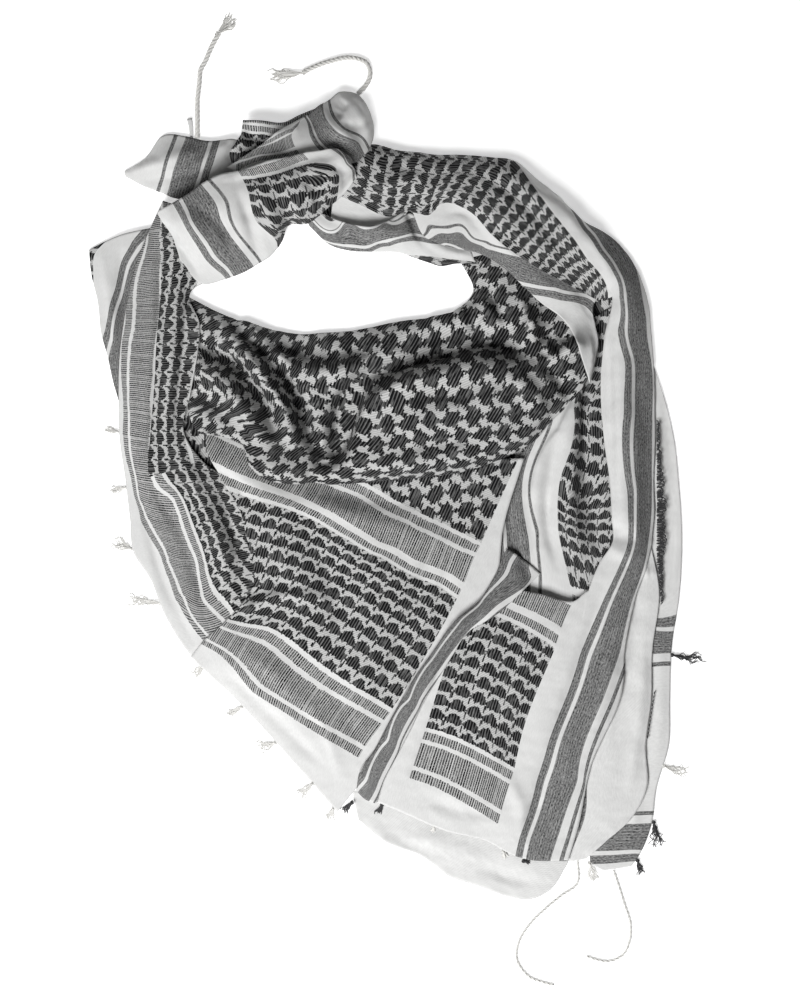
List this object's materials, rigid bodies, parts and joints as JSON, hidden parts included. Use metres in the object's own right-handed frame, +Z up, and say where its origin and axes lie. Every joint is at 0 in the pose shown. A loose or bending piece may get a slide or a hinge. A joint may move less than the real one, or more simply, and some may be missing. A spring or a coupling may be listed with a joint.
{
  "type": "keffiyeh headscarf",
  "caption": "Square woven cotton headscarf folded on the diagonal, wound into a neck loop, knotted and laid flat, with a large-check cowl, striped borders, corner cords and hem tassels",
  "frame": {"origin": "on the surface that the scarf lies on, under the middle of its plan box, cords left out", "axes": "+Y runs from the hanging front to the knot, along the length; +X is to the right seen from above with the knot at the top; +Z is up from the surface"},
  "size_m": [0.5548, 0.8805, 0.0448],
  "materials": {
    "patterned": "matt cotton with black floats woven on white",
    "striped": "matt cotton, white with grey mottled stripes",
    "white": "matt plain white cotton",
    "black": "black cotton thread",
    "cord": "twisted white cotton cord"
  },
  "bodies": {
    "root": {"back_loop": "patterned", "bottom_under": "white", "cord_a": "cord", "cord_b": "cord", "cord_c": "cord", "cord_d": "cord", "cowl": "patterned", "fray": "black", "hidden_layers": "striped", "inner_column": "patterned", "knot_tuck": "patterned", "left_band": "patterned", "left_flap": "patterned", "neck_left": "patterned", "pleat": "striped", "rear_left": "striped", "right_border": "striped", "right_flap": "patterned", "right_hem": "white", "right_under": "striped", "tail_end": "striped", "tail_tab": "white", "tassel_01": "white", "tassel_02": "white", "tassel_03": "white", "tassel_04": "white", "tassel_05": "white", "tassel_06": "white", "tassel_07": "white", "tassel_08": "white", "tassel_09": "white", "tassel_10": "black", "tassel_11": "black", "tassel_12": "white", "tassel_13": "white", "tassel_14": "black", "tassel_15": "white", "tassel_16": "white", "tassel_17": "black", "tassel_18": "black", "tassel_19": "black", "tuft_a": "cord", "tuft_b": "cord", "wrap_front": "patterned", "wrap_top": "patterned"}
  },
  "joints": []
}
